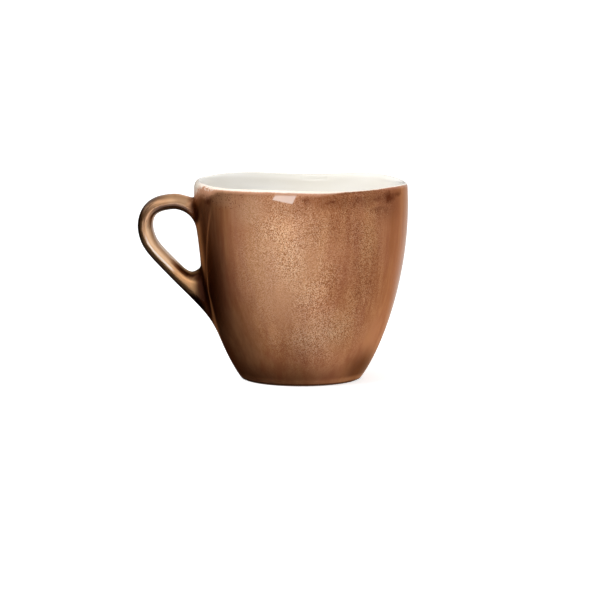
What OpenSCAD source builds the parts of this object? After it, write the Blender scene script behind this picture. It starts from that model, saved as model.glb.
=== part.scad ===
// A large handled coffee mug in stoneware: a thrown body with a softly uneven lip,
// a strap handle joined to it with slip, a white lining and one brown glaze coat.
// Lengths are in millimetres. +Z is up, the origin is the centre of the foot on the
// table, and the handle points towards -X.

/* [Body] */
// Largest outside radius of the fired clay
body_r = 56.1; // [54:0.5:62]
// Height of the lip's crown above the table, on average
body_h = 104.5; // [88:0.5:118]
// Outside radius of the clay where the wall lands on the table
base_r = 30.3; // [28:0.5:36]
// Length of the upright stretch of wall at the top, measured from the lip's crown
upright_h = 12.5; // [9:0.5:20]
// How strongly the wall curves on its way up
belly_curve = 1.92; // [1.7:0.02:2.2]
// How quickly the wall leaves the foot: lower is quicker
belly_spread = 0.82; // [0.7:0.01:0.95]

/* [Wall] */
// Thickness of the clay at the lip
lip_t = 2.9; // [2.4:0.1:4]
// Thickness of the wall just above the floor
wall_t = 4.8; // [3.6:0.1:6]
// Thickness of the floor over the hollow under the foot
floor_t = 5.2; // [4:0.2:7]
// Radius of the flat middle of the floor
floor_r = 17; // [12:0.5:20]
// Height above the floor at which the wall starts to bend into it
floor_bend_h = 15; // [11:0.5:18]

/* [Lip] */
// Height of the lip's rounding
lip_round = 3.7; // [2.5:0.1:5]
// Largest rise and fall of the lip around the mouth
lip_wave = 0.8; // [0:0.1:1.2]
// Height of the stretch below the rounding that carries the wave
wave_reach = 9; // [6:0.5:11]

/* [Foot] */
// Depth of the hollow under the foot
foot_hollow = 2.6; // [1.6:0.1:3.4]
// Width of the flat ring that stands on the table
foot_ring_w = 4.2; // [3:0.2:6]
// Height of the bare clay between the table and the brown glaze
bare_h = 1; // [0.7:0.1:2]

/* [Handle] */
// Furthest reach of the strap's middle line from the wall
handle_reach = 26.6; // [24:0.5:34]
// How far the strap's middle line stays below the lip's crown at its top
handle_drop = 10.1; // [9.5:0.1:16]
// Height of the middle of the lower joint
handle_foot_h = 46; // [42:0.5:50]
// Thickness of the strap, seen from the side
strap_t = 7.1; // [6:0.1:8.5]
// Width of the strap, seen from behind
strap_w = 12; // [10:0.5:16]
// Depth of the hollow that fitting the handle pressed into the wall
press_depth = 1.3; // [0:0.1:2]
// Thickness of the slip in the two joints
slip_t = 0.6; // [0.4:0.1:1]

/* [Glaze] */
// Thickness of every glaze coat
glaze_t = 0.5; // [0.4:0.05:0.7]

/* [Hidden] */

// Overrun of a cut past the face that it opens
cut_over = 1;
// Sides of the body and of the strap's section, and the sides that the joints reach each way
body_sides = 56;
strap_sides = 16;
joint_sides = 4;
// Steps up the wall and how strongly they crowd at the foot, then steps over the lip to each side
// of the border, down the inside and round the bend
wall_steps = 10;
wall_crowding = 1.25;
brown_lip_steps = 2;
white_lip_steps = 5;
inside_steps = 5;
bend_steps = 4;
// Steps from one station of the strap to the next, and stations that each joint takes
strap_steps = 2;
upper_stations = 4;
lower_stations = 6;

// Waves of the lip: how many times round, share of lip_wave, and angle of the crest
wave_shares = [[1, 0.95, 128], [2, 0.3, -6], [3, 0.5, 33], [4, 0.37, -40], [5, 0.47, -27]];
// Place of the crown across the lip, and how far it moves inwards at the handle
crown_share = 0.5;
crown_swing_share = 0.2;
// Turn round the lip's section, from its outside, at which brown meets white
border_angle = 45;
// Where the pressed hollow lies between the two joints, its height and its half angle
press_place_share = 0.51;
press_height_share = 0.34;
press_angle = 24;
// How full the strap's oval is: 1 is an ellipse, and less is squarer
oval_power = 0.88;

// Stations along the strap from the upper to the lower joint: reach, rise, turn in
// degrees, thickness and width, with all but the turn as shares of the handle's sizes
station_shares = [
    [-0.13, 0.847, 0, 2.9, 1.7],
    [0.027, 0.91, 0, 1.47, 1.35],
    [0.09, 0.947, -2, 1.17, 1.16],
    [0.21, 0.977, -4, 1.01, 1.04],
    [0.37, 0.998, -3, 0.97, 1],
    [0.7, 0.972, 19, 0.98, 1],
    [0.885, 0.905, 40, 0.96, 1],
    [0.975, 0.81, 66, 0.97, 1],
    [1, 0.704, 88, 1.01, 1],
    [0.966, 0.59, 108, 1.03, 1],
    [0.861, 0.47, 123, 1.01, 1],
    [0.456, 0.188, 140, 1.06, 1],
    [0.285, 0.1, 161, 1.4, 1.05],
    [0.145, 0.062, 176, 2.2, 1.12],
    [0.045, 0.045, 185, 3.3, 1.15],
    [-0.085, 0.01, 185, 4.6, 1.1],
    [-0.17, -0.06, 184, 5, 1]
];

lip_start_h = body_h - lip_round;
belly_h = body_h - upright_h;
handle_top_h = body_h - handle_drop;
floor_h = foot_hollow + floor_t;
bend_h = floor_h + floor_bend_h;
foot_hollow_r = base_r - foot_ring_w;
handle_span = handle_top_h - handle_foot_h;
press_h = handle_foot_h + handle_span * press_place_share;

// Places on the clay's profile: wall 0 to 1, lip 1 to 2, inside 2 to 3, bend 3 to 4
border_place = 1 + border_angle / 180;
wall_places = [for (i = [0 : wall_steps - 1]) pow(i / wall_steps, wall_crowding)];
outside_places = concat(wall_places,
    [for (i = [0 : brown_lip_steps]) mix(1, border_place, i / brown_lip_steps)]);
lining_places = concat(
    [for (i = [0 : white_lip_steps - 1]) mix(border_place, 2, i / white_lip_steps)],
    [for (i = [0 : inside_steps - 1]) 2 + i / inside_steps],
    [for (i = [0 : bend_steps]) 3 + i / bend_steps]);
// Half step along the profile over which its direction is measured
place_step = 0.01;

function mix(a, b, t) = a + (b - a) * t;
function smooth(t) = t <= 0 ? 0 : t >= 1 ? 1 : t * t * (3 - 2 * t);
function bell(distance, spread) = exp(-pow(distance / spread, 2));

// Outside radius of the clay at a height, before fitting the handle pressed it in
function wall_r(z) = z >= belly_h ? body_r
    : mix(base_r, body_r, pow(1 - pow(1 - z / belly_h, belly_curve), belly_spread));
function pressed(z, angle) = press_depth * bell(180 - abs(angle), press_angle)
    * bell(z - press_h, handle_span * press_height_share);
function outside_r(z, angle) = wall_r(z) - pressed(z, angle);
// Thickness of the clay, which grows steadily from the lip down to the bend
function clay_t(z) = mix(wall_t, lip_t, smooth((z - bend_h) / (lip_start_h - bend_h)));
function inside_r(z, angle) = outside_r(z, angle) - clay_t(z);

// Rise of the lip at an angle, and a height of the wall with its part of that rise
function lip_rise(angle) = lip_wave
    * ([for (w = wave_shares) w[1]] * [for (w = wave_shares) cos(w[0] * (angle - w[2]))]);
function waved(z, angle) = z
    + lip_rise(angle) * smooth((z - lip_start_h + wave_reach) / wave_reach);
function crown_r(angle) = body_r - lip_t * (crown_share - crown_swing_share * cos(angle));

// Point of the clay's profile at a place and an angle, as radius and height
function profile(place, angle) =
    place <= 1 ? wall_point(mix(bare_h, lip_start_h, max(place, 0)), angle)
    : place <= 2 ? lip_point(180 * (place - 1), angle)
    : place <= 3 ? inside_point(mix(lip_start_h, bend_h, place - 2), angle)
    : bend_point(min(place - 3, 1), angle);
function wall_point(z, angle) = [outside_r(z, angle), waved(z, angle)];
function inside_point(z, angle) = [inside_r(z, angle), waved(z, angle)];
// The lip is half an ellipse outside the crown and half a narrower or wider one inside it
function lip_point(turn, angle) =
    let (
        crown = crown_r(angle),
        side = turn < 90 ? body_r - crown : crown - body_r + lip_t)
    [crown + side * cos(turn), lip_start_h + lip_round * sin(turn) + lip_rise(angle)];
// The bend is a quadratic curve from the wall's own slope to the level floor
function bend_point(t, angle) =
    let (
        step = floor_bend_h * place_step,
        start = [inside_r(bend_h, angle), bend_h],
        slope = (inside_r(bend_h + step, angle) - start[0]) / step,
        corner = [start[0] - slope * floor_bend_h, floor_h],
        end = [floor_r, floor_h])
    mix(mix(start, corner, t), mix(corner, end, t), t);

// A profile point moved out of the clay by the thickness of a coat, turned to its angle
function body_angle(j) = 360 * j / body_sides - 180;
function placed(p, angle) = [p[0] * cos(angle), p[0] * sin(angle), p[1]];
function coat_point(place, angle, coat) =
    let (
        along = profile(place + place_step, angle) - profile(place - place_step, angle),
        out = [along[1], -along[0]] / norm(along))
    placed(profile(place, angle) + coat * out, angle);
function ring(place, coat) = [for (j = [0 : body_sides - 1])
    coat_point(place, body_angle(j), coat)];
function table_ring() = [for (j = [0 : body_sides - 1]) placed([base_r, 0], body_angle(j))];

// Triangles between two rings of a list, facing outwards, or inwards when turned
function strip(a, b, sides, turned = false) = [for (j = [0 : sides - 1])
    let (k = (j + 1) % sides, p = a * sides + j, q = a * sides + k,
        s = b * sides + k, t = b * sides + j)
    each (turned ? [[p, q, s], [p, s, t]] : [[p, t, s], [p, s, q]])];
function strips(first, last, sides, turned = false) =
    [for (i = [first : last - 1]) each strip(i, i + 1, sides, turned)];
// Caps that fan out from a ring's first point, facing down or up
function cap_below(i, sides) = [for (j = [1 : sides - 2])
    [i * sides, i * sides + j, i * sides + j + 1]];
function cap_above(i, sides) = [for (j = [1 : sides - 2])
    [i * sides, i * sides + j + 1, i * sides + j]];
function joined(rings) = [for (r = rings) each r];

// A closed solid over a list of rings
module loft(rings, sides) {
    last = len(rings) - 1;
    polyhedron(joined(rings), concat(cap_below(0, sides), strips(0, last, sides),
        cap_above(last, sides)), convexity = 6);
}

// A glaze coat over a stretch of the clay, which ends in an edge or closes over the floor
module coat(places, thickness, over_floor) {
    n = len(places);
    rings = concat([for (p = places) ring(p, 0)], [for (p = places) ring(p, thickness)]);
    far_end = over_floor
        ? concat(cap_below(n - 1, body_sides), cap_above(2 * n - 1, body_sides))
        : strip(2 * n - 1, n - 1, body_sides);
    polyhedron(joined(rings), concat(strips(0, n - 1, body_sides, true),
        strips(n, 2 * n - 1, body_sides), strip(0, n, body_sides), far_end), convexity = 8);
}

// The wedge of the body that lies behind the handle, from its axis to its outside, grown by a coat
module wedge(grown) {
    angles = [for (j = [-joint_sides : joint_sides]) body_angle(j < 0 ? j + body_sides : j)];
    rings = [for (place = outside_places) concat(
        [placed([0, profile(place, body_angle(0))[1]], 0)],
        [for (angle = angles) coat_point(place, angle, grown)])];
    loft(rings, len(angles) + 1);
}

// A station's reach, rise, turn, thickness and width as real sizes in the handle's plane
function station(s) =
    let (z = handle_foot_h + handle_span * s[1])
    [-(wall_r(z) + handle_reach * s[0]), z, s[2], strap_t * s[3], strap_w * s[4]];
// A smooth curve through four neighbouring stations, between the middle two
function through(a, b, c, d, t) = 0.5 * (2 * b + (c - a) * t
    + (2 * a - 5 * b + 4 * c - d) * t * t + (3 * b - a - 3 * c + d) * t * t * t);
stations = [for (row = station_shares) station(row)];
last_station = len(stations) - 1;
function strap_line(first, last) = concat(
    [for (i = [first : last - 1], k = [0 : strap_steps - 1])
        through(stations[max(i - 1, 0)], stations[i], stations[i + 1],
            stations[min(i + 2, last_station)], k / strap_steps)],
    [stations[last]]);
function squared(v) = sign(v) * pow(abs(v), oval_power);
function strap_ring(s, grown) = [for (j = [0 : strap_sides - 1])
    let (
        turn = 360 * j / strap_sides,
        across = (s[3] / 2 + grown) * squared(cos(turn)),
        aside = (s[4] / 2 + grown) * squared(sin(turn)))
    [s[0] - across * sin(s[2]), aside, s[1] + across * cos(s[2])]];

// The strap, or a stretch of it, as if its ends ran on into the clay, grown by a coat
module strap(grown, first = 0, last = last_station) {
    loft([for (s = strap_line(first, last)) strap_ring(s, grown)], strap_sides);
}

// The layer of slip between a stretch of the strap and the wall
module slip_joint(first, last) {
    difference() {
        intersection() {
            strap(0, first, last);
            wedge(slip_t);
        }
        wedge(0);
    }
}

module clay_body() {
    color("#c9b79c") difference() {
        loft(concat([table_ring()], [for (p = outside_places) ring(p, 0)],
            [for (i = [1 : len(lining_places) - 1]) ring(lining_places[i], 0)]), body_sides);
        translate([0, 0, -cut_over])
            cylinder(h = foot_hollow + cut_over, r = foot_hollow_r, $fn = 96);
    }
}

module handle() {
    color("#c9b79c") difference() {
        strap(0);
        wedge(slip_t);
    }
}

module upper_slip_joint() {
    color("#9c8468") slip_joint(0, upper_stations);
}

module lower_slip_joint() {
    color("#9c8468") slip_joint(last_station - lower_stations, last_station);
}

module brown_glaze() {
    color("#9a6038") difference() {
        union() {
            coat(outside_places, glaze_t, false);
            difference() {
                strap(glaze_t);
                wedge(0);
            }
        }
        strap(0);
    }
}

module white_lining_glaze() {
    color("#f2eee4") coat(lining_places, glaze_t, true);
}

module base_glaze() {
    color("#9a6038") translate([0, 0, foot_hollow - glaze_t])
        cylinder(h = glaze_t, r = foot_hollow_r, $fn = 96);
}

clay_body();
handle();
upper_slip_joint();
lower_slip_joint();
brown_glaze();
white_lining_glaze();
base_glaze();
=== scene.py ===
# %% [markdown]
# # A large handled coffee mug
# The mug is thrown in stoneware, has a strap handle, and carries two glazes: a copper-brown
# one outside and a white one inside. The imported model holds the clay, the slip and plain
# coats. This script dresses it: the two coats that show are modelled again as smooth
# shells, every surface gets a finish made from nodes, and a small studio lights them.
# All lengths are in metres. +Z is up and the handle points towards -X.

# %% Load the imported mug
import math

import bmesh
import bpy
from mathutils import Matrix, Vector


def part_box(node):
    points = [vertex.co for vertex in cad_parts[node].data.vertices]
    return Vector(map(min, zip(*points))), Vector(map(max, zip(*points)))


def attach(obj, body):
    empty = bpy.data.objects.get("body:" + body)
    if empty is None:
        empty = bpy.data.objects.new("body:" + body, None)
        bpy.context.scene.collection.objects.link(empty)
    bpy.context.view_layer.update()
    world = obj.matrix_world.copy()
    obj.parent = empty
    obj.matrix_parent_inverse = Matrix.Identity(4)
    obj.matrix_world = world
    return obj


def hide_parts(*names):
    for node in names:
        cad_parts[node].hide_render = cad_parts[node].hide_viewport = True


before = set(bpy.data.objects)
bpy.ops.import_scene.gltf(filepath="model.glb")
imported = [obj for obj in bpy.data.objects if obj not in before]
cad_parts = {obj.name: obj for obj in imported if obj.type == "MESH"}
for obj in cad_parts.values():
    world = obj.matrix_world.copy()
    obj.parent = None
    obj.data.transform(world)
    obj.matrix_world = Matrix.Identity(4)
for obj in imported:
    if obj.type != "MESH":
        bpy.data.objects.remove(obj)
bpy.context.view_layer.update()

MM = 0.001
print("packed nodes:", sorted(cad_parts))

# %% [markdown]
# ## The clay that the glaze lies on
# A coat of glaze follows the clay, so its shape starts from the clay's own profile. What
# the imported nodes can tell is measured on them: the widest radius, the thickness of the
# coats and the height of the floor. The curve of the wall and the rounding of the lip are
# then the same rules as the potter's profile follows, written again as short functions.

# %% Sizes of the thrown body
clay_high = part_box("clay_body")[1]
GLAZE_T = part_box("brown_glaze")[1].x - clay_high.x
BODY_R = clay_high.x
FLOOR_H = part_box("white_lining_glaze")[0].z
BODY_H = 104.5 * MM
BASE_R = 30.3 * MM
BELLY_H = BODY_H - 12.5 * MM
BELLY_CURVE, BELLY_SPREAD = 1.92, 0.82
LIP_T, WALL_T = 2.9 * MM, 4.8 * MM
LIP_ROUND = 3.7 * MM
LIP_START_H = BODY_H - LIP_ROUND
FLOOR_R = 17 * MM
BEND_H = FLOOR_H + 15 * MM
print("glaze thickness in mm:", round(GLAZE_T / MM, 2), "floor at", round(FLOOR_H / MM, 2))

# %% The wall's profile
HANDLE_FOOT_H, HANDLE_TOP_H = 46 * MM, BODY_H - 10.1 * MM
PRESS_H = HANDLE_FOOT_H + 0.51 * (HANDLE_TOP_H - HANDLE_FOOT_H)
PRESS_REACH = 0.34 * (HANDLE_TOP_H - HANDLE_FOOT_H)
PRESS_DEPTH, PRESS_ANGLE = 1.3 * MM, math.radians(24)
LEAN, LEAN_START, LEAN_REACH = 0.2 * MM, BODY_H - 11 * MM, 9 * MM


def mix(a, b, t):
    return a + (b - a) * t


def smooth(t):
    """An eased step from 0 to 1."""
    t = min(max(t, 0), 1)
    return t * t * (3 - 2 * t)


def bell(distance, spread):
    """1 at no distance, fading out over the spread."""
    return math.exp(-((distance / spread) ** 2))


def clay_r(z, angle):
    """Radius of the clay's outside, with the hollow that fitting the handle pressed into it."""
    share = 1 if z >= BELLY_H else (1 - (1 - z / BELLY_H) ** BELLY_CURVE) ** BELLY_SPREAD
    hollow = bell(math.pi - abs(angle), PRESS_ANGLE) * bell(z - PRESS_H, PRESS_REACH)
    return mix(BASE_R, BODY_R, share) - PRESS_DEPTH * hollow


def outside_r(z, angle):
    """The coat's radius, which leans in a hair's breadth under the lip."""
    return clay_r(z, angle) - LEAN * smooth((z - LEAN_START) / LEAN_REACH)


def inside_r(z, angle):
    thickness = mix(WALL_T, LIP_T, smooth((z - BEND_H) / (LIP_START_H - BEND_H)))
    return clay_r(z, angle) - thickness


print("radius half way up in mm:", round(outside_r(BODY_H / 2, 0) / MM, 1))

# %% [markdown]
# ## A lip that was made by hand
# The mouth of the real mug isn't level: it rises and falls by a millimetre or so, and the
# crown of the lip lies further in on the handle's side. A sum of five waves around the
# mouth gives the rise, with the same shares and crests as the clay has, and the last
# stretch of wall below the lip follows it softly.

# %% The lip's waves
LIP_WAVE, WAVE_REACH = 0.8 * MM, 9 * MM
WAVES = [(1, 0.95, 128), (2, 0.3, -6), (3, 0.5, 33), (4, 0.37, -40), (5, 0.47, -27)]
CROWN_SHARE, CROWN_SWING = 0.5, 0.2
CROWN_H = LIP_ROUND - 0.1 * MM


def crown_r(angle):
    """How far from the axis the top of the lip lies."""
    return BODY_R - LIP_T * (CROWN_SHARE - CROWN_SWING * math.cos(angle))


def lip_rise(angle):
    return LIP_WAVE * sum(
        share * math.cos(count * (angle - math.radians(crest))) for count, share, crest in WAVES
    )


def waved(z, angle):
    """A height on the wall, lifted softly by the lip above it."""
    return z + lip_rise(angle) * smooth((z - LIP_START_H + WAVE_REACH) / WAVE_REACH)


def wall_point(z, angle):
    return outside_r(z, angle), waved(z, angle)


def inside_point(z, angle):
    return inside_r(z, angle), waved(z, angle)


def lip_point(turn, angle):
    """Half an ellipse outside the crown, and another half inside it, at a turn in degrees."""
    crown = crown_r(angle)
    side = outside_r(LIP_START_H, 0) - crown if turn < 90 else crown - BODY_R + LIP_T
    r = crown + side * math.cos(math.radians(turn))
    return r, LIP_START_H + CROWN_H * math.sin(math.radians(turn)) + lip_rise(angle)


def bend_point(t, angle):
    """The inside's bend is a quadratic curve from the wall's own slope to the level floor."""
    step = 0.1 * MM
    start = Vector((inside_r(BEND_H, angle), BEND_H))
    slope = (inside_r(BEND_H + step, angle) - start.x) / step
    corner = Vector((start.x - slope * (BEND_H - FLOOR_H), FLOOR_H))
    return tuple(mix(mix(start, corner, t), mix(corner, Vector((FLOOR_R, FLOOR_H)), t), t))


rises = [round(lip_rise(math.radians(a)) / MM, 1) for a in range(0, 360, 60)]
print("rise of the lip in mm, every 60 degrees:", rises)

# %% [markdown]
# ## One cage for both glazes
# The brown and the white coat meet in a line on the lip, where a gap or a step would show.
# So they start as one surface: a ring of edges is added at the foot and extruded again and
# again, up the wall, over the lip, down the inside and in to the middle of the floor. Only
# then is the surface cut in two along one of its own rings. Rings lie close together where
# the surface bends, where the glazes meet, and where the handle's roots will be cut.

# %% Rings of the cage
COLUMNS = 64
# A smoothed ring shrinks inside its cage, so the cage is this much larger
CAGE_SWELL = 6 / (4 + 2 * math.cos(2 * math.pi / COLUMNS))
# Heights in mm. The coat starts 1 mm up, because a mug's foot is wiped clean of glaze
LOWER_ROOT = [27, 35.5, 44, 52.5, 60.6]
UPPER_ROOT = [80.6, 85, 89, 92.8, 96]
WALL_ROWS = [1, 1.4, 2.4, 6, 12, 19, *LOWER_ROOT, 66, 71, 76, *UPPER_ROOT, 97.2, 99]
BORDER_TURN, BORDER_STEP = 45, 2.5
BROWN_TURNS = [0, 14, 28, 38, BORDER_TURN - BORDER_STEP, BORDER_TURN]
WHITE_TURNS = [BORDER_TURN + BORDER_STEP, 54, 66, 78, 90, 102, 116, 132, 150, 165]
INSIDE_ROWS = [100.8, 98, 93, 86, 77, 67, 57, 47, 38, 30]
BEND_SHARES = [0, 0.16, 0.34, 0.52, 0.7, 0.86, 1]
FLOOR_RINGS = [14 * MM, 9 * MM, 4 * MM]

rings = [lambda angle, z=z * MM: wall_point(z, angle) for z in WALL_ROWS]
rings += [lambda angle, turn=turn: lip_point(turn, angle) for turn in BROWN_TURNS]
border_ring = len(rings) - 1
rings += [lambda angle, turn=turn: lip_point(turn, angle) for turn in WHITE_TURNS]
rings += [lambda angle, z=z * MM: inside_point(z, angle) for z in INSIDE_ROWS]
rings += [lambda angle, t=t: bend_point(t, angle) for t in BEND_SHARES]
rings += [lambda angle, r=r: (r, FLOOR_H) for r in FLOOR_RINGS]
print(len(rings), "rings of", COLUMNS, "columns; the glazes meet at ring", border_ring)


# %% Helpers for edit mode
def only(piece):
    """Makes one object the only selected one, and the active one."""
    bpy.ops.object.select_all(action="DESELECT")
    piece.select_set(True)
    bpy.context.view_layer.objects.active = piece


def edit(piece):
    """Opens a piece in edit mode with nothing selected."""
    only(piece)
    bpy.ops.object.mode_set(mode="EDIT")
    bpy.ops.mesh.select_all(action="DESELECT")


def close_edit():
    bpy.ops.object.mode_set(mode="OBJECT")


def pick(elements_of, wanted, piece):
    """Selects the vertices, edges or faces of the open piece that a test picks out."""
    cage = bmesh.from_edit_mesh(piece.data)
    found = [e for e in elements_of(cage) if wanted(e)]
    for e in found:
        e.select_set(True)
    cage.select_flush_mode()
    bmesh.update_edit_mesh(piece.data)
    return len(found)


# %% Extrude the cage ring by ring
first_r, first_z = rings[0](0)
bpy.ops.object.select_all(action="DESELECT")
bpy.ops.mesh.primitive_circle_add(vertices=COLUMNS, radius=first_r, location=(0, 0, 0))
skin = bpy.context.object
skin.name = "brown_glaze_coat"
bpy.ops.object.mode_set(mode="EDIT")
bpy.ops.transform.translate(value=(0, 0, first_z))
ring_r, ring_z = first_r, first_z
for ring in rings[1:]:
    next_r, next_z = ring(0)
    bpy.ops.mesh.extrude_region_move(TRANSFORM_OT_translate={"value": (0, 0, next_z - ring_z)})
    scale = next_r / ring_r
    bpy.ops.transform.resize(value=(scale, scale, 1), center_override=(0, 0, next_z))
    ring_r, ring_z = next_r, next_z
bpy.ops.mesh.extrude_region_move(TRANSFORM_OT_translate={"value": (0, 0, 0)})
bpy.ops.mesh.merge(type="CENTER")
bpy.ops.mesh.select_all(action="SELECT")
bpy.ops.mesh.normals_make_consistent(inside=False)
close_edit()
print("cage:", len(skin.data.vertices), "vertices,", len(skin.data.polygons), "faces")

# %% [markdown]
# The extruded rings are true circles. A potter's touch comes next: each vertex keeps its
# ring and its angle and moves to where that ring runs at that angle, which gives the lip
# its waves, swings its crown, and presses the hollow behind the handle into the wall.

# %% Give the cage its hand-made shape
for vertex in skin.data.vertices:
    ring = vertex.index // COLUMNS
    if ring < len(rings):
        angle = math.atan2(vertex.co.y, vertex.co.x)
        r, z = rings[ring](angle)
        vertex.co = (CAGE_SWELL * r * math.cos(angle), CAGE_SWELL * r * math.sin(angle), z)
heights = [v.co.z for v in skin.data.vertices]
print("cage stands from", round(min(heights) / MM, 2), "to", round(max(heights) / MM, 2), "mm")

# %% [markdown]
# ## The strap handle
# The handle is a pulled strap of clay with a rounded oblong section. It rises a little from
# the wall, bends over, and runs down to a long root that leaves the wall slowly. It could be
# a bevelled curve, but then its two roots would only poke into the wall. Here a circle of 16
# vertices is extruded station by station, so that its end rings can be bridged to holes in
# the wall, as a real handle is smoothed into the body with wet slip.

# %% Stations of the strap
# Reach from the wall, height, turn in degrees, thickness and width, with lengths in mm
STATIONS = [
    (2.4, 91.7, -2, 8.4, 14.8),
    (5.6, 93.3, -4, 7.4, 13.8),
    (9.8, 94.3, -3, 7.1, 13.6),
    (18.6, 93, 19, 7.2, 13.6),
    (23.5, 89.8, 40, 7.1, 13.6),
    (25.9, 85.2, 66, 7.2, 13.6),
    (26.6, 80.1, 88, 7.4, 13.6),
    (25.7, 74.6, 108, 7.5, 13.6),
    (22.9, 68.7, 123, 7.4, 13.6),
    (12.1, 55.1, 140, 7.7, 13.8),
    (9.6, 52.6, 150, 8.7, 14.2),
    (7.3, 50.9, 161, 10.7, 14.8),
    (3.9, 49.3, 174, 16.6, 15.4),
]
STRAP_SIDES = 16
STRAP_SWELL = 6 / (4 + 2 * math.cos(2 * math.pi / STRAP_SIDES))
FLAT_INSIDE = 0.24
RING_GAP = 3 * MM


def station_values(row):
    """X, Z, turn, thickness and width of a station, in metres and radians."""
    reach, height, turn, thickness, width = row
    z = height * MM
    x = -(outside_r(z, 0) + reach * MM)
    return [x, z, math.radians(turn), thickness * MM, width * MM]


def through(a, b, c, d, t):
    """A value on the smooth curve through four neighbours, between the middle two."""
    return 0.5 * (
        2 * b + (c - a) * t + (2 * a - 5 * b + 4 * c - d) * t**2 + (3 * b - a - 3 * c + d) * t**3
    )


def strap_rings():
    """The stations with rings added between them, so that no two lie far apart."""
    known = [station_values(row) for row in STATIONS]
    found = []
    for i in range(len(known) - 1):
        four = [known[max(i - 1, 0)], known[i], known[i + 1], known[min(i + 2, len(known) - 1)]]
        gap = math.dist(known[i][:2], known[i + 1][:2])
        steps = max(1, round(gap / RING_GAP))
        for k in range(steps):
            found.append([through(*values, k / steps) for values in zip(*four)])
    return found + [known[-1]]


strap_line = strap_rings()
print(len(strap_line), "rings along the strap")

# %% Extrude the strap
x, z, turn, thickness, width = strap_line[0]
bpy.ops.object.select_all(action="DESELECT")
bpy.ops.mesh.primitive_circle_add(vertices=STRAP_SIDES, radius=1)
strap = bpy.context.object
strap.name = "strap"
for vertex in strap.data.vertices:
    across, aside = vertex.co.x, vertex.co.y
    vertex.co = (0, aside * STRAP_SWELL, (across - FLAT_INSIDE * aside**2) * STRAP_SWELL)
bpy.ops.object.mode_set(mode="EDIT")
bpy.ops.transform.resize(value=(1, width / 2, thickness / 2), center_override=(0, 0, 0))
bpy.ops.transform.rotate(value=turn, orient_axis="Y", center_override=(0, 0, 0))
bpy.ops.transform.translate(value=(x, 0, z))
for next_x, next_z, next_turn, next_thickness, next_width in strap_line[1:]:
    step = (next_x - x, 0, next_z - z)
    bpy.ops.mesh.extrude_region_move(TRANSFORM_OT_translate={"value": step})
    centre = (next_x, 0, next_z)
    bpy.ops.transform.rotate(value=-turn, orient_axis="Y", center_override=centre)
    growth = (1, next_width / width, next_thickness / thickness)
    bpy.ops.transform.resize(value=growth, center_override=centre)
    bpy.ops.transform.rotate(value=next_turn, orient_axis="Y", center_override=centre)
    x, z, turn, thickness, width = next_x, next_z, next_turn, next_thickness, next_width
close_edit()

# %% [markdown]
# Each root needs a hole of 4 by 4 faces, whose edge has 16 vertices, as many as the strap's
# rings. Then the strap joins the body's mesh, and a bridge with extra rings in it closes
# each root. The subdivision that comes later rounds the bridge into a soft fillet.

# %% Open the wall at the roots
ROOT_COLUMNS = 2
ROOT_ANGLE = ROOT_COLUMNS * 2 * math.pi / COLUMNS
SKIN_DEPTH = 1.5 * MM


def in_root(face, rows):
    """Whether a face of the outside wall lies between a root's rows, behind the handle."""
    point = face.calc_center_median()
    turn = math.pi - abs(math.atan2(point.y, point.x))
    outside = math.hypot(point.x, point.y) > outside_r(point.z, math.pi) - SKIN_DEPTH
    return turn < ROOT_ANGLE and outside and rows[0] * MM < point.z < rows[-1] * MM


edit(skin)
for rows in (LOWER_ROOT, UPPER_ROOT):
    count = pick(lambda cage: cage.faces, lambda face: in_root(face, rows), skin)
    print("faces cut for a root:", count)
    bpy.ops.mesh.delete(type="FACE")
close_edit()

# %% Bridge the strap to the wall
FOOT_EDGE_TOP, BETWEEN_ROOTS = 10 * MM, (HANDLE_FOOT_H + HANDLE_TOP_H) / 2
BRIDGE_CUTS, BRIDGE_SMOOTHNESS = 1, 0.6
bpy.ops.object.select_all(action="DESELECT")
strap.select_set(True)
skin.select_set(True)
bpy.context.view_layer.objects.active = skin
bpy.ops.object.join()
edit(skin)
bpy.ops.mesh.select_mode(type="EDGE")
for is_upper in (False, True):
    bpy.ops.mesh.select_all(action="DESELECT")
    count = pick(
        lambda cage: cage.edges,
        lambda edge: edge.is_boundary
        and min(v.co.z for v in edge.verts) > FOOT_EDGE_TOP
        and (edge.verts[0].co.z > BETWEEN_ROOTS) == is_upper,
        skin,
    )
    print("open edges at a root:", count)
    bpy.ops.mesh.bridge_edge_loops(
        number_cuts=BRIDGE_CUTS, smoothness=BRIDGE_SMOOTHNESS, interpolation="SURFACE"
    )
bpy.ops.mesh.select_mode(type="VERT")
bpy.ops.mesh.select_all(action="SELECT")
bpy.ops.mesh.normals_make_consistent(inside=False)
close_edit()
print("joined cage:", len(skin.data.vertices), "vertices")

# %% [markdown]
# ## From a surface to two coats
# The white part is split off along the ring where the glazes meet. Each part then gets the
# real thickness of a coat, outwards from the clay, and two levels of subdivision. The rims
# of the coats are creased, because a rounded rim would open a groove on the lip.

# %% Split off the white lining
LINING_MARGIN = 0.6 * MM
edit(skin)


def is_lining(face):
    """Faces inside the mouth, which lie nearer the axis or higher than the border."""
    centre = face.calc_center_median()
    angle = math.atan2(centre.y, centre.x)
    border_r, border_z = rings[border_ring](angle)
    r = math.hypot(centre.x, centre.y)
    wall_r = inside_r(min(centre.z, LIP_START_H), angle) * CAGE_SWELL + LINING_MARGIN
    return r < border_r * CAGE_SWELL and (centre.z > border_z or r < wall_r)


count = pick(lambda cage: cage.faces, is_lining, skin)
bpy.ops.mesh.separate(type="SELECTED")
close_edit()
lining = next(o for o in bpy.context.selected_objects if o != skin)
lining.name = "white_lining"
print("lining faces:", count, "brown faces:", len(skin.data.polygons))

# %% Give the coats their thickness
LEVELS, SMOOTH_ANGLE = 2, math.radians(50)


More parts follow.
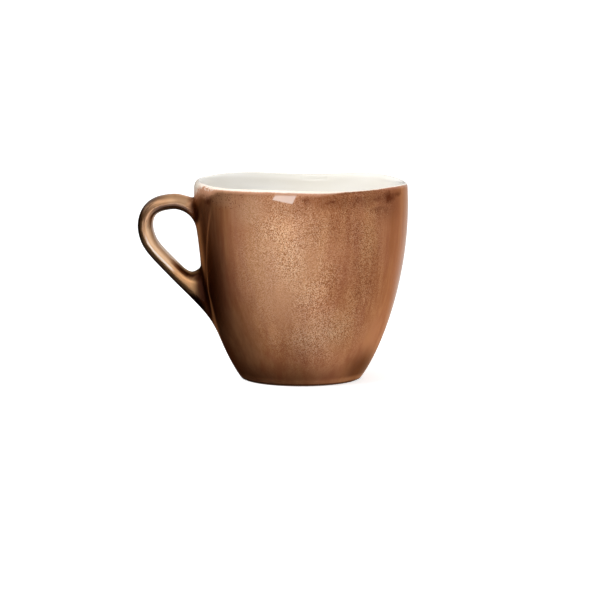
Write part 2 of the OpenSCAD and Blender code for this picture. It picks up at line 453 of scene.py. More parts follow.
def make_coat(piece):
    """Thickens a surface outwards, smooths it and applies both, so that the mesh is final."""
    only(piece)
    coat = piece.modifiers.new("coat", "SOLIDIFY")
    coat.thickness, coat.offset, coat.use_even_offset = GLAZE_T, 1, True
    coat.edge_crease_rim = coat.edge_crease_inner = coat.edge_crease_outer = 1
    fine = piece.modifiers.new("fine", "SUBSURF")
    fine.levels = fine.render_levels = LEVELS
    bpy.ops.object.modifier_apply(modifier=coat.name)
    bpy.ops.object.modifier_apply(modifier=fine.name)
    bpy.ops.object.shade_smooth_by_angle(angle=SMOOTH_ANGLE)
    piece.data.name = piece.name
    low = Vector(map(min, *[v.co for v in piece.data.vertices]))
    high = Vector(map(max, *[v.co for v in piece.data.vertices]))
    print(piece.name, len(piece.data.polygons) * 2, "triangles, box in mm:",
          [round(c / MM, 2) for c in (*low, *high)])


make_coat(skin)
make_coat(lining)

# %% [markdown]
# The finishes need to know how far a point lies from the top of the lip, because the two
# glazes run into each other there. The distance is kept on every vertex as an attribute. It
# counts as positive outside the crown and negative inside, in metres.

# %% Note each point's distance from the crown
def mark_from_crown(piece, wall_side):
    """Below the lip, the side is given: 1 for the outside coat and -1 for the lining."""
    marks = piece.data.attributes.new("from_crown", "FLOAT", "POINT")
    values = []
    for vertex in piece.data.vertices:
        angle = math.atan2(vertex.co.y, vertex.co.x)
        out = math.hypot(vertex.co.x, vertex.co.y) - crown_r(angle)
        down = BODY_H + GLAZE_T + lip_rise(angle) - vertex.co.z
        side = out if down < LIP_ROUND else wall_side
        values.append(math.copysign(math.hypot(out, down), side))
    marks.data.foreach_set("value", values)
    print(piece.name, "from the crown in mm:", round(min(values) / MM, 2), "to",
          round(max(values) / MM, 2))


mark_from_crown(skin, 1)
mark_from_crown(lining, -1)

# %% [markdown]
# On the strap, painted shade darkens the edges and the roots, and painted light and a painted
# highlight lie along it, so its finish needs to know where a point lies on it. A second attribute
# holds three values: how far out across the strap, from -1 inside the loop to 1 outside it, how
# far along it, from 0 at the upper root to 1 at the lower one, and 1 for the strap or 0 for the
# wall.

# %% Note where each point lies on the strap
WALL_REACH, STRAP_FADE = 1 * MM, 4 * MM


def mark_strap(piece):
    """Finds the nearest place on the strap's middle line for each point off the wall."""
    line = [(Vector((x, z)), thickness) for x, z, turn, thickness, width in strap_line]
    lengths = [0]
    for (start, _), (end, _) in zip(line, line[1:]):
        lengths.append(lengths[-1] + (end - start).length)
    marks = piece.data.attributes.new("strap", "FLOAT_VECTOR", "POINT")
    values = []
    for vertex in piece.data.vertices:
        x, y, z = vertex.co
        reach = math.hypot(x, y) - clay_r(z, math.atan2(y, x))
        if x > 0 or reach < WALL_REACH:
            values += [0, 0, 0]
            continue
        place, best = Vector((x, z)), None
        for i, ((start, thick), (end, _)) in enumerate(zip(line, line[1:])):
            step = end - start
            share = min(max((place - start).dot(step) / step.length_squared, 0), 1)
            gap = place - start - step * share
            if best is None or gap.length < best[0]:
                out = gap.dot(Vector((step.y, -step.x)).normalized()) / (thick / 2)
                best = gap.length, out, lengths[i] + share * step.length
        values += [best[1], best[2] / lengths[-1], smooth((reach - WALL_REACH) / STRAP_FADE)]
    marks.data.foreach_set("vector", values)
    print("points on the strap:", sum(1 for on in values[2::3] if on > 0.5))


mark_strap(skin)
mark_strap(lining)

# %% [markdown]
# ## Writing finishes as sums
# A glaze is many small effects on top of each other, which would be a large web of nodes.
# This small class wraps one socket, so that Python's own operators add the Math nodes, and
# its one method for all other nodes sets a node's settings first and its sockets after.

# %% A socket with arithmetic
class Wire:
    """An output socket of a material, on which + - * / and ** add Math nodes."""

    def __init__(self, tree, socket=None):
        self.tree, self.socket = tree, socket

    def node(self, kind, settings=None, inputs=None, output=0):
        """Adds any node and returns one of its outputs."""
        new = self.tree.nodes.new(kind)
        for name, value in (settings or {}).items():
            setattr(new, name, value)
        for name, value in (inputs or {}).items():
            if isinstance(value, Wire):
                self.tree.links.new(value.socket, new.inputs[name])
            else:
                new.inputs[name].default_value = value
        return Wire(self.tree, new.outputs[output])

    def math(self, operation, *values):
        return self.node("ShaderNodeMath", {"operation": operation}, dict(enumerate(values)))

    def __add__(self, other):
        return self.math("ADD", self, other)

    def __sub__(self, other):
        return self.math("SUBTRACT", self, other)

    def __mul__(self, other):
        return self.math("MULTIPLY", self, other)

    def __truediv__(self, other):
        return self.math("DIVIDE", self, other)

    def __pow__(self, other):
        return self.math("POWER", self, other)

    def __radd__(self, other):
        return self.math("ADD", other, self)

    def __rsub__(self, other):
        return self.math("SUBTRACT", other, self)

    def __rmul__(self, other):
        return self.math("MULTIPLY", other, self)

    def between(self, low, high):
        """0 below low, 1 above high, and an eased step between them."""
        settings = {"interpolation_type": "SMOOTHSTEP"}
        inputs = {"Value": self, "From Min": low, "From Max": high}
        return self.node("ShaderNodeMapRange", settings, inputs)


def tone(code):
    """The linear colour of a colour that is written as it looks, such as #b58860."""
    values = [int(code[i : i + 2], 16) / 255 for i in (1, 3, 5)]
    linear = [v / 12.92 if v <= 0.04045 else ((v + 0.055) / 1.055) ** 2.4 for v in values]
    return (*linear, 1)


def new_finish(name):
    """A material with its Principled shader, and a Wire to add nodes with."""
    material = bpy.data.materials.new(name)
    material.use_nodes = True
    tree = material.node_tree
    shader = tree.nodes["Principled BSDF"]
    return material, shader, Wire(tree)


def feed(shader, name, wire):
    """Links a Wire to one of the shader's sockets."""
    wire.tree.links.new(wire.socket, shader.inputs[name])


def blend_tones(share, a, b, method="MIX"):
    """A colour between a and b, which are colours or Wires, by a share that is a Wire."""
    settings = {"data_type": "RGBA", "blend_type": method}
    return share.node("ShaderNodeMix", settings, {0: share, 6: a, 7: b}, output=2)


def noise(start, place, scale, detail=2.0, roughness=0.5):
    """A soft noise from 0 to 1 at a place, with its scale in lumps a metre."""
    inputs = {"Vector": place, "Scale": scale, "Detail": detail, "Roughness": roughness}
    return start.node("ShaderNodeTexNoise", None, inputs)


def stretched(start, place, factors):
    """A place with its axes scaled, so that a pattern draws out along the smaller ones."""
    return start.node("ShaderNodeVectorMath", {"operation": "MULTIPLY"}, {0: place, 1: factors})


print("finish helpers are ready")

# %% [markdown]
# ## The copper-brown glaze
# The glaze is a lustre: it gleams like dull copper more than it looks painted, so it is
# mostly metallic. A clear gloss lies on top only where the glaze is smooth: on the strap, at
# the right edge, and in a patch under the lip. Its colour has layers. Large soft clouds and
# narrow streaks, which run down the wall as glaze does in the kiln, shift it between caramel
# and copper. Fine crystals speckle it, light and dark, less than a millimetre across, and
# most densely on the front. A few darker pools lie under the lip on the right.

# %% Colours of the brown glaze
CARAMEL, COPPER, FOOT_SHADE_UMBER = tone("#c1855a"), tone("#aa6b45"), tone("#5e2a10")
PALE_CARAMEL_AND_LIGHT, ROSY, PAINTED_REFLECTION_TAN = tone("#cfa17c"), tone("#b4735a"), tone("#a86e42")
DARK_BRUSH_AND_SHADE, POOLED_AND_SHADE, STRAP_TONE = tone("#3a1000"), tone("#602208"), tone("#cda172")
STRAP_PAINTED_LIGHT, FLANK_SHADE_BROWN, LOWER_ROOT_SHADE = tone("#e2bb94"), tone("#7a3208"), tone("#2e0f03")
CREAM_AND_HIGHLIGHT, EDGE_TINT = tone("#f5e8d8"), tone("#e6cdb4")
# The crystals multiply the colour under them
LIGHT_CRYSTAL, DARK_CRYSTAL = (1.34, 1.78, 2.2, 1), (0.47, 0.34, 0.26, 1)
GRAIN_SCALE = 2700


def spot(start, place, centre, radii, edge=0.5):
    """1 inside an egg-shaped spot around a centre, both in mm, and 0 outside it."""
    shift = {0: place, 1: tuple(c * MM for c in centre)}
    away = start.node("ShaderNodeVectorMath", {"operation": "SUBTRACT"}, shift)
    scale = {0: away, 1: tuple(1 / (r * MM) for r in radii)}
    scaled = start.node("ShaderNodeVectorMath", {"operation": "MULTIPLY"}, scale)
    length = start.node("ShaderNodeVectorMath", {"operation": "LENGTH"}, {0: scaled}, output=1)
    return 1 - length.between(edge, 1)


def widest(start, *shares):
    """The largest of several shares at each point."""
    most = shares[0]
    for share in shares[1:]:
        most = start.math("MAXIMUM", most, share)
    return most


def split(start, place):
    """The X, Y and Z of a place, each as a Wire."""
    first = start.node("ShaderNodeSeparateXYZ", None, {"Vector": place})
    return [Wire(start.tree, socket) for socket in first.socket.node.outputs]


# %% [markdown]
# Each layer of the glaze is a function of its own. It takes the colour so far and lays its
# own effect over it. The places of spots and lines are in mm, as they lie on the mug, and
# every effect has a share from 0 to 1.

# %% Ground of the brown glaze
def ground(start, place):
    """Clouds and streaks, paler in front with painted light, and rosy in some of the streaks."""
    clouds = noise(start, place, 26, 3, 0.55)
    streaks = noise(start, stretched(start, place, (1, 1, 0.08)), 150, 4, 0.7)
    colour = blend_tones((clouds * 0.4 + streaks * 0.6).between(0.39, 0.61), COPPER, CARAMEL)
    rosy = noise(start, stretched(start, place, (1, 1, 0.35)), 75, 2).between(0.42, 0.62)
    colour = blend_tones(rosy * 0.25, colour, ROSY)
    # Paler in front: partly a paler glaze, partly a pool of painted light
    front = widest(start, spot(start, place, (-10, -56, 66), (34, 30, 62), 0.2),
                   spot(start, place, (-25, -50, 94), (17, 17, 17), 0.2),
                   spot(start, place, (-36, -42, 101), (18, 22, 9), 0.4) * 0.7,
                   spot(start, place, (8, -48, 30), (26, 24, 20), 0.2) * 0.7)
    return blend_tones(front * 0.6, colour, PALE_CARAMEL_AND_LIGHT), streaks


# %% Dark pools under the lip, and painted shade below the smooth patch
# Centre and radii in mm, where the fade starts from the centre, and strength
POOLS_AND_SHADE = {
    "large": ((45.2, -33, 99.2), (9.5, 12, 6.2), 0, 1.12),
    "wing": ((50, -26, 100.4), (6, 9, 3), 0, 0.9),
    "second": ((39, -40, 99.4), (7, 9, 3), 0, 0.8),
    "third": ((28.6, -48, 99.2), (7, 7, 4), 0, 0.7),
    "line": ((15.5, -53.7, 98.6), (9, 8, 2.2), 0, 0.8),
    "fifth": ((2.2, -56, 99.4), (7, 7, 4.5), 0, 0.75),
    "streak": ((40, -39.5, 93.8), (13, 14, 2), 0, 0.6),
    "end of the streak": ((43.5, -35.5, 92.8), (7, 9, 3), 0, 0.6),
    # Painted shade below the smooth patch, against the glow around its highlight
    "under the smooth patch": ((-7, -56, 97), (16, 14, 11), 0.2, 0.42),
    "by the handle": ((-48.3, -29.5, 97), (4.6, 8, 4), 0, 0.9),
}


def pool_and_shade_share(start, place, streaks):
    """Ragged pools, painted shade below the smooth patch, a darker stretch under the lip and a few
    specks.
    """
    wander = (noise(start, place, 300, 3, 0.7) - 0.5) * (6 * MM)
    shaken = start.node("ShaderNodeVectorMath", {"operation": "ADD"}, {0: place, 1: wander})
    pools = [spot(start, shaken, *pool[:3]) * pool[3] for pool in POOLS_AND_SHADE.values()]
    under_lip = spot(start, shaken, (20, -48, 101), (44, 40, 9), 0.4) * streaks.between(0.3, 0.55)
    around = spot(start, place, (45, -33, 96), (14, 22, 14), 0.2)
    specks = noise(start, place, 1200, 1).between(0.6, 0.68)
    specks = specks * spot(start, place, (-40, -42, 100), (28, 30, 9), 0.5)
    return widest(start, *pools, specks * 0.6, under_lip * 0.5, around * 0.36) * 0.85


# %% Smooth patches in the glaze
def smooth_pool(start, place):
    """Just under the lip, in front, the glaze is smooth as glass in one slanting patch."""
    x, y, z = [axis * (1 / MM) for axis in split(start, place)]
    to_left = x + 14.6 - (z - 99.9) * 0.67
    to_right = x + 4.2 - (z - 98.1) * 0.47
    to_bottom = z - 99.9 + (x + 14.8) * 0.2
    patch = to_left.between(-0.4, 0.4) * (1 - to_right.between(-0.4, 0.4))
    return patch * to_bottom.between(-0.4, 0.4) * (1 - y.between(-40, -30))


def far_smooth_pool(start, place):
    """Another patch, level and narrow, inside the far lip."""
    x, y, z = [axis * (1 / MM) for axis in split(start, place)]
    patch = x.between(-0.8, 0) * (1 - x.between(14, 14.8)) * y.between(30, 40)
    return patch * z.between(100.9, 101.4) * (1 - z.between(103.2, 103.8))


# %% Crystals
def crystals(start, place, colour):
    """Light and dark crystals, smaller than a millimetre, which lie densest in front."""
    patches = noise(start, place, 60, 2).between(0.3, 0.62)
    dense = widest(start, spot(start, place, (8, -52, 62), (54, 40, 72), 0.5),
                   spot(start, place, (36, -44, 97), (24, 26, 14), 0.4))
    dense = dense * (0.45 + 0.55 * patches)
    dense = dense * (1 - 0.5 * spot(start, place, (-18, -52, 44), (22, 30, 26), 0.4))
    dense = dense * (1 - smooth_pool(start, place))
    grid = {"Vector": place, "Scale": GRAIN_SCALE}
    cells = start.node("ShaderNodeTexVoronoi", None, grid, output=1)
    # Each cell has a random colour, and the product turns it into its brightness
    grain = cells * 1.0
    light = grain.between(0.5, 0.8) * dense
    dark = (1 - grain).between(0.5, 0.8) * dense
    colour = blend_tones(light * 0.8, colour, LIGHT_CRYSTAL, "MULTIPLY")
    return blend_tones(dark * 0.9, colour, DARK_CRYSTAL, "MULTIPLY"), grain, light


# %% Painted shade and reflection behind the handle, and painted shade at the foot
def flank(start, place, colour, on_strap):
    """Painted shade on the wall behind the handle, with a patch and a line of painted reflection.

    Returns the colour, the share of painted reflection, and where the handle's roots meet the wall.
    """
    x, y, z = [axis * (1 / MM) for axis in split(start, place)]
    on_wall = 1 - on_strap
    # Painted shade on the whole flank, darkest behind the handle
    shade = spot(start, place, (-50, -18, 45), (24, 38, 66), 0.1)
    low_shade = spot(start, place, (-40, -10, 12), (18, 26, 26), 0.2)
    shade = widest(start, shade * 0.6, low_shade * 0.75) * on_wall
    colour = blend_tones(shade, colour, FLANK_SHADE_BROWN)
    behind = spot(start, place, (-44, 0, 67), (26, 45, 62), 0.5) * on_wall
    colour = blend_tones(behind * 0.95, colour, DARK_BRUSH_AND_SHADE)

    # Painted reflection: the line leans to the front with height, below 45 mm it widens to the back
    turn = start.math("ARCTAN2", y * -1, x * -1) * math.degrees(1)
    low_part = start.math("MAXIMUM", 45 - z, 0)
    line_turn = 18.5 + start.math("MAXIMUM", z - 48, 0) * 0.36 - low_part**1.5 * 0.1
    wide = 1.4 + start.math("MINIMUM", low_part * 0.4, 6)
    line = 1 - (start.math("ABSOLUTE", turn - line_turn) / wide).between(0.2, 1)
    line = line * z.between(7, 13) * (1 - z.between(86, 95))
    line = line * (0.34 + 0.26 * (1 - z.between(46, 70)) + 0.4 * (1 - z.between(20, 32)))
    # Between the handle's roots a patch of the wall is paler, a painted reflection
    band = 1 - start.math("ABSOLUTE", turn).between(16, 26)
    band = band * z.between(49, 66) * (1 - z.between(80, 92) * 0.7) * (1 - z.between(89, 93))
    painted_reflection = widest(start, line, band * 0.72) * on_wall
    colour = blend_tones(painted_reflection, colour, PAINTED_REFLECTION_TAN)

    # Painted shade where the roots meet the wall, but not out on the strap
    upper_root = spot(start, place, (-53, -5, 89), (12, 17, 7.5), 0.6) * x.between(-60.5, -54.5)
    lower_root = spot(start, place, (-55, -4, 50), (12, 14, 16), 0.7) * x.between(-59.5, -53.5)
    colour = blend_tones(upper_root * 0.95, colour, DARK_BRUSH_AND_SHADE)
    colour = blend_tones(lower_root * 0.95, colour, LOWER_ROOT_SHADE)
    roots = widest(start, upper_root, lower_root)
    return colour, painted_reflection * (1 - roots), roots


def foot(start, place, colour):
    """Painted shade towards the foot, lifted in a pale ring above it, and a painted shadow at the
    edge.
    """
    height = split(start, place)[2] * (1 / MM)
    low = widest(start, (1 - height.between(1, 17)) * 0.6,
                 spot(start, place, (30, -18, 6), (20, 24, 20), 0.2) * 0.9)
    ring = height.between(0.9, 1.9) * (1 - height.between(2.6, 5))
    colour = blend_tones(low * (1 - 0.6 * ring), colour, FOOT_SHADE_UMBER)
    edge = 1 - height.between(0.9, 1.5)
    return blend_tones(edge * 0.9, colour, DARK_BRUSH_AND_SHADE)


# %% The strap
def on_the_strap(start, colour, streaks):
    """Strap glaze: painted shade at its edges, painted light inside and along a line, brushed at
    the bend.

    Returns the colour, 1 on the strap, how much it scatters and how much it shines.
    """
    marks = start.node("ShaderNodeAttribute", {"attribute_name": "strap"}, output="Vector")
    outer, along, on_strap = split(start, marks)
    colour = blend_tones(on_strap * (0.3 + 0.6 * streaks), colour, STRAP_TONE)

    # Painted light on the inner side half way along, and a painted highlight near the top
    inner = outer * -1
    inside = inner.between(-0.1, 0.4) * along.between(0.32, 0.45) * (1 - along.between(0.7, 0.82))
    near_top = along.between(0.02, 0.05) * (1 - along.between(0.12, 0.2))
    near_top = near_top * (1 - outer.between(0.3, 0.9))
    light = widest(start, inside * 0.75, near_top * 0.3) * on_strap
    colour = blend_tones(light, colour, STRAP_PAINTED_LIGHT)

    # Painted shade along both edges and low in the loop, and brushed where the strap bends over
    outer_edge = widest(start, outer.between(0.4, 0.95) * (1 - along.between(0.45, 0.55)),
                        outer.between(0.62, 1.15)) * along.between(0.12, 0.26) * 0.92
    inner_edge = inner.between(-0.15, 0.35) * (1 - along.between(0.25, 0.4)) * 0.85
    lower_inside = inner.between(0.3, 1) * along.between(0.72, 0.84) * 0.9
    brush = noise(start, stretched(start, marks, (2.2, 5, 0)), 3, 3, 0.7).between(0.5, 0.6)
    brush = (0.3 + 0.4 * brush) * along.between(0.2, 0.28) * (1 - along.between(0.38, 0.48))
    dark = widest(start, outer_edge, inner_edge, lower_inside, brush) * on_strap
    colour = blend_tones(dark, colour, DARK_BRUSH_AND_SHADE)

    # A painted highlight: on the lower half a pale line, which moves inwards
    off = start.math("ABSOLUTE", outer - (0.3 - along * 0.4))
    pale = along.between(0.44, 0.56) * (1 - along.between(0.76, 0.82))
    pale = pale * (1 - off.between(0.05, 0.22))
    colour = blend_tones(pale * on_strap * 0.8, colour, CREAM_AND_HIGHLIGHT)
    scatter = widest(start, inside * 0.8, pale * 0.6) * on_strap
    scatter = scatter * (1 - lower_inside * 0.5)
    shine = on_strap * (1 - along.between(0.74, 0.86))
    return colour, on_strap, scatter, shine


# %% All layers of the brown glaze
GLAZE_ROUGH, LIGHT_SMOOTHER, STRAP_SMOOTHER = 0.48, 0.08, 0.15


def brown_layer(start, place):
    """Its colour, how rough it is, its grain, its clear gloss and how much it scatters."""
    colour, streaks = ground(start, place)
    colour, on_strap, scatter, shine = on_the_strap(start, colour, streaks)
    colour, painted_reflection, roots = flank(start, place, colour, on_strap)
    colour = blend_tones(pool_and_shade_share(start, place, streaks), colour, POOLED_AND_SHADE)
    colour = foot(start, place, colour)
    # A painted highlight: the smooth patch is tinted cream
    colour = blend_tones(smooth_pool(start, place) * 0.16, colour, CREAM_AND_HIGHLIGHT)
    colour, grain, light = crystals(start, place, colour)
    right = spot(start, place, (57, 0, 54), (18, 30, 90), 0.3)
    gloss = widest(start, shine * 0.35, right * 0.5)
    rough = GLAZE_ROUGH - LIGHT_SMOOTHER * light - STRAP_SMOOTHER * on_strap
    # Where reflection is painted, the glaze scatters light instead of mirroring it
    scatter = widest(start, painted_reflection * 0.8, scatter * (1 - roots))
    return colour, rough, grain, gloss, scatter


# %% [markdown]
# ## The white glaze, and where the two meet
# The lining is a glossy off-white with a faint cloudiness. On the lip the two glazes run
# into each other: on the handle's side the brown thins out into blush and cream over a few
# millimetres, and on the other side it stops in a sharp line at the crown. The two coats
# are two pieces, but both get the same layers, blended by the distance from the crown, so
# no seam shows between them.

# %% Finish of both glazes
WHITE, WARM_WHITE, FAR_LIP_SHADE_WHITE = tone("#f4f2ee"), tone("#efebe2"), tone("#e0dcd2")
BLUSH = tone("#cf9a7c")
METAL_SHARE, CREAM_ROUGH = 0.95, 0.18
BODY_COAT, COAT_ROUGH, COAT_IOR = 0.03, 0.04, 1.9


def make_glaze(name, edge_tint):
    """Brown below the border, blush and cream along it, and white above and inside it."""
    material, shader, start = new_finish(name)
    shader.inputs["Specular Tint"].default_value = edge_tint
    place = start.node("ShaderNodeTexCoord", output="Object")
    from_crown = start.node("ShaderNodeAttribute", {"attribute_name": "from_crown"}, output="Fac")
    brown, brown_rough, grain, gloss, scatter = brown_layer(start, place)
    clouds = noise(start, place, 22, 3, 0.55)
    white = blend_tones(clouds.between(0.3, 0.7), WARM_WHITE, WHITE)
    # Painted shade: the far lip is a little greyer
    far_lip = spot(start, place, (0, 56, 104), (70, 22, 9), 0.3)
    white = blend_tones(far_lip * 0.6, white, FAR_LIP_SHADE_WHITE)

    # The border wanders, and is softer in front, on the left and above the handle. From here
    # on, lengths are in mm from the crown.
    left = spot(start, place, (-57, -14, 100), (20, 36, 30), 0.5)
    end = spot(start, place, (-59, 0, 100), (14, 34, 30), 0.4)
    front = spot(start, place, (-20, -50, 102), (46, 40, 30), 0.6)
    ragged = (noise(start, place, 210, 3, 0.6) - 0.5) * (0.6 + left * 3)
    ragged = ragged + (noise(start, place, 900, 1) - 0.5) * (0.4 + left * 5)
    edge = from_crown * (1 / MM) + ragged
    cream_low = 0.6 + front * 0.8 + left * 0.4 + end
    cream_reach = 0.3 + front * 0.5 + left * 1.4 + end * 4.8
    cream_share = 1 - edge.between(cream_low, cream_low + cream_reach)
    blush_low = 0.8 + front + left * 2.2 + end * 3
    blush_reach = 0.4 + front * 1.6 + left * 4.8
    blush_share = 1 - edge.between(blush_low, blush_low + blush_reach)
    white_share = 1 - edge.between(-0.9, 0.2 + left * 0.4)
    colour = blend_tones(blush_share * 0.8, brown, BLUSH)
    colour = blend_tones(cream_share, colour, CREAM_AND_HIGHLIGHT)
    colour = blend_tones(white_share, colour, white)
    feed(shader, "Base Color", colour)
    metal = METAL_SHARE * (1 - cream_share) * (1 - blush_share * 0.7) * (1 - scatter)
    feed(shader, "Metallic", metal)
    feed(shader, "Roughness", brown_rough - (brown_rough - CREAM_ROUGH) * cream_share)
    pooled = smooth_pool(start, place)
    far_pool = far_smooth_pool(start, place) * 0.8
    coat = widest(start, gloss, pooled, far_pool, cream_share * 0.12)
    feed(shader, "Coat Weight", BODY_COAT + (1 - BODY_COAT) * coat)
    shader.inputs["Coat Roughness"].default_value = COAT_ROUGH
    shader.inputs["Coat IOR"].default_value = COAT_IOR
    peel = noise(start, place, 260, 2) * 0.6 + grain * 0.4
    relief = {"Strength": 0.1, "Distance": 0.2 * MM, "Height": peel}
    feed(shader, "Normal", start.node("ShaderNodeBump", None, relief))
    return material


brown_glaze = make_glaze("brown_glaze_finish", EDGE_TINT)
white_glaze = make_glaze("white_glaze_finish", (1, 1, 1, 1))
print("nodes in each glaze:", len(brown_glaze.node_tree.nodes))

# %% [markdown]
# ## Bare clay and slip
# Unglazed stoneware shows only at the foot, where the mug stood in the kiln: a buff, matte
# body with iron specks and a grain that is felt more than seen, with a painted shadow where it
# meets the glaze's edge. The slip in the joints is the same clay, thinned and darker, and is
# hidden in the whole mug.

# %% Stoneware finishes
IRON_SPECK, CLAY_FOOT_SHADOW = tone("#5a4330"), tone("#4a2410")


def make_clay(name, buff, shade):
    """Cloudy, speckled clay in two tones, with a painted shadow at the foot."""
    material, shader, start = new_finish(name)
    place = start.node("ShaderNodeTexCoord", output="Object")
    clouds = noise(start, place, 60, 4, 0.6)
    specks = noise(start, place, 900, 1).between(0.64, 0.7)
    colour = blend_tones(clouds.between(0.35, 0.65), tone(buff), tone(shade))
    colour = blend_tones(specks * 0.6, colour, IRON_SPECK)
    # A painted shadow darkens the clay at the foot
    foot_shadow = 1 - split(start, place)[2].between(0.8 * MM, 1.4 * MM)
    colour = blend_tones(foot_shadow * 0.85, colour, CLAY_FOOT_SHADOW)
    feed(shader, "Base Color", colour)
    feed(shader, "Roughness", 0.78 + clouds * 0.15)
    grit = noise(start, place, 1600, 3, 0.7)
    relief = {"Strength": 0.5, "Distance": 0.1 * MM, "Height": grit}
    feed(shader, "Normal", start.node("ShaderNodeBump", None, relief))
    return material


fired_clay = make_clay("fired_clay_finish", "#cdbb9f", "#b9a485")
slip = make_clay("slip_finish", "#a8907a", "#92785f")
print("clay finishes:", fired_clay.name, slip.name)

# %% Put the finishes on
# The base glaze has no distance from the crown, so the brown glaze's finish is cream there
FINISHES = {
    "brown_glaze_coat": brown_glaze,
    "white_lining": white_glaze,
    "clay_body": fired_clay,
    "handle": fired_clay,
    "upper_slip_joint": slip,
    "lower_slip_joint": slip,
    "base_glaze": brown_glaze,
}
for name, finish in FINISHES.items():
    piece = bpy.data.objects[name]
    piece.data.materials.clear()
    piece.data.materials.append(finish)
print("finishes on", len(FINISHES), "pieces")

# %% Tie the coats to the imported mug
for piece, node in ((skin, "brown_glaze"), (lining, "white_lining_glaze")):
    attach(piece, "root")
    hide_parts(node)

# %% [markdown]
# ## The studio
# Glazed ware is photographed by placing what it mirrors. The glaze here behaves like satin
# metal, so each stretch of wall shows the panel that faces it, blurred. Lamps could stand in
# for the panels, but a world that is bright in some directions does the same with less noise
# and has no fall-off. Each panel is given by its edges in degrees, around from the mug's
# front at -Y, with +X positive, and up from the horizon. A level of 1 is white.

# %% Studio panels
# Left edge, right edge, lower edge, upper edge, softness, slant to the left with height, level
PANELS = {
    "front card": (-78, 6, -14, 8, 13, 0, 0.88),
    "bright card": (-64, -36, -12, 14, 9, 0, 0.26),
    "lower front card": (-50, 30, -46, -14, 11, 0, 1.12),
    "strip": (-84, -81, -50, 4, 0.8, 0.72, 6),
    "low fill": (20, 130, -70, -14, 10, 0, 0.76),
    "right card": (4, 124, -14, 10, 10, 0, 0.64),
    "right softbox": (-4, 128, 10, 36, 6, 0, 1.35),
    "white table": (116, 175, -50, -10, 10, 0, 0.5),
    "window": (-33, -1, -2.6, 13, 0.5, 0, 2.5),
    "left ceiling": (-110, 0, 26, 76, 10, 0, 0.8),
    "ceiling": (-180, 180, 52, 95, 8, 0, 0.7),
    "pale wall behind": (-182, -112, 18, 50, 6, 0, 0.8),
    "pale wall beyond": (112, 182, 18, 50, 6, 0, 0.8),
}
# A white backdrop starts this far round on each side and fades out below and above
BACKDROP_RIGHT, BACKDROP_LEFT, BACKDROP_SOFT = 128, 166, 8
RIGHT_LEVEL, LEFT_LEVEL = 0.85, 0.2
BACKDROP_BOTTOM, BACKDROP_TOP = (-40, -10), (20, 40)


def make_studio():
    """A world that is white to the camera and holds the panels for the mug."""
    world = bpy.data.worlds.new("studio")
    bpy.context.scene.world = world
    world.use_nodes = True
    tree = world.node_tree
    start = Wire(tree)
    direction = start.node("ShaderNodeTexCoord", output="Generated")
    x, y, z = split(start, direction)
    azimuth = start.math("ARCTAN2", x, y * -1) * math.degrees(1)
    elevation = start.math("ARCSINE", z) * math.degrees(1)

    def within(value, low, high, soft):
        return value.between(low - soft, low + soft) * (1 - value.between(high - soft, high + soft))

    def from_edge(value, edge):
        return value.between(edge - BACKDROP_SOFT, edge + BACKDROP_SOFT)

    behind = from_edge(azimuth, BACKDROP_RIGHT) * RIGHT_LEVEL
    behind = behind + from_edge(azimuth * -1, BACKDROP_LEFT) * LEFT_LEVEL
    light = behind * elevation.between(*BACKDROP_BOTTOM)
    light = light * (1 - elevation.between(*BACKDROP_TOP))
    for left, right, low, high, soft, slant, level in PANELS.values():
        across = azimuth if slant == 0 else azimuth + elevation * slant
        panel = within(across, left, right, soft) * within(elevation, low, high, soft)
        light = light + panel * level
    to_camera = start.node("ShaderNodeLightPath", output="Is Camera Ray")
    background = tree.nodes["Background"]
    background.inputs["Color"].default_value = (1, 1, 1, 1)
    tree.links.new((to_camera + (1 - to_camera) * light).socket, background.inputs["Strength"])
    return world


studio = make_studio()
print("panels in the world", studio.name + ":", ", ".join(PANELS))

# %% [markdown]
# The panels suit the brown glaze, which mirrors them. The white lining and the cream lip
# scatter light instead, and need it from the upper left. One soft square lamp gives it. Its
# light isn't mirrored, as when a photographer turns a lamp until its glare is gone.

# %% Fill lamp
LAMP_PLACE, LAMP_AIM = Vector((-0.62, -0.5, 0.72)), Vector((0, 0, 90 * MM))
LAMP_SIZE, LAMP_POWER = 0.5, 5.7
bpy.ops.object.select_all(action="DESELECT")
bpy.ops.object.light_add(type="AREA", location=LAMP_PLACE)
lamp = bpy.context.object
lamp.name = "fill lamp"
lamp.data.size, lamp.data.energy = LAMP_SIZE, LAMP_POWER
lamp.visible_glossy = False
lamp.rotation_euler = (LAMP_PLACE - LAMP_AIM).to_track_quat("Z", "Y").to_euler()
print("lamp at", [round(c, 2) for c in lamp.location], "m")

# %% [markdown]
# The floor is pale and plain. The camera sees it white, with the mug's soft shadow on it. It
# lets other rays through to the panels below the horizon, as a glass table would, because
# the underside of a mug that hangs in the air mirrors the low panels and not a floor.

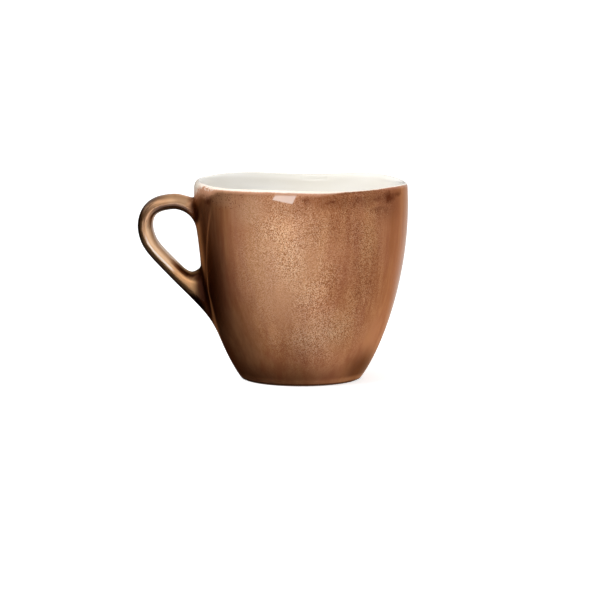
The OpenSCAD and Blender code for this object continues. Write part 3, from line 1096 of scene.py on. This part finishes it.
# %% Floor
FLOOR_SIZE = 40
FLOOR_WHITE, FLOOR_GLOW = 0.8, 0.62
bpy.ops.object.select_all(action="DESELECT")
bpy.ops.mesh.primitive_grid_add(x_subdivisions=8, y_subdivisions=8, size=FLOOR_SIZE)
floor = bpy.context.object
floor.name = "floor"


def make_floor_finish():
    """White to the camera, and clear to all other rays."""
    material, shader, start = new_finish("floor_white")
    shader.inputs["Base Color"].default_value = (FLOOR_WHITE, FLOOR_WHITE, FLOOR_WHITE, 1)
    shader.inputs["Roughness"].default_value = 1
    shader.inputs["Specular IOR Level"].default_value = 0
    shader.inputs["Emission Color"].default_value = (1, 1, 1, 1)
    shader.inputs["Emission Strength"].default_value = FLOOR_GLOW
    to_camera = start.node("ShaderNodeLightPath", output="Is Camera Ray")
    clear = start.node("ShaderNodeBsdfTransparent")
    seen = Wire(start.tree, shader.outputs[0])
    either = start.node("ShaderNodeMixShader", None, {0: to_camera, 1: clear, 2: seen})
    start.tree.links.new(either.socket, start.tree.nodes["Material Output"].inputs["Surface"])
    return material


floor.data.materials.append(make_floor_finish())
print("floor is", FLOOR_SIZE, "m wide")

# %% [markdown]
# ## The camera
# The picture was taken from a little above the mug's middle with a long lens, a metre and a
# half away. The small shift only puts the mug where it stands in the picture's frame.

# %% Camera
AIM = Vector((0, 0, 52 * MM))
CAMERA_DISTANCE, CAMERA_ELEVATION = 1.5, math.radians(6.8)
SENSOR, FOCAL_PX, FRAME_PX = 36, 2830, 600
MUG_RIGHT_PX, MUG_UP_PX = 1.0, 19.5
camera_data = bpy.data.cameras.new("camera")
camera = bpy.data.objects.new("camera", camera_data)
bpy.context.scene.collection.objects.link(camera)
camera_data.sensor_width = SENSOR
camera_data.lens = SENSOR * FOCAL_PX / FRAME_PX
camera_data.shift_x, camera_data.shift_y = -MUG_RIGHT_PX / FRAME_PX, -MUG_UP_PX / FRAME_PX
back = Vector((0, -math.cos(CAMERA_ELEVATION), math.sin(CAMERA_ELEVATION)))
camera.location = AIM + back * CAMERA_DISTANCE
camera.rotation_euler = back.to_track_quat("Z", "Y").to_euler()
bpy.context.scene.camera = camera
bpy.context.scene.view_settings.view_transform = "Standard"
print("camera at", [round(c, 3) for c in camera.location])
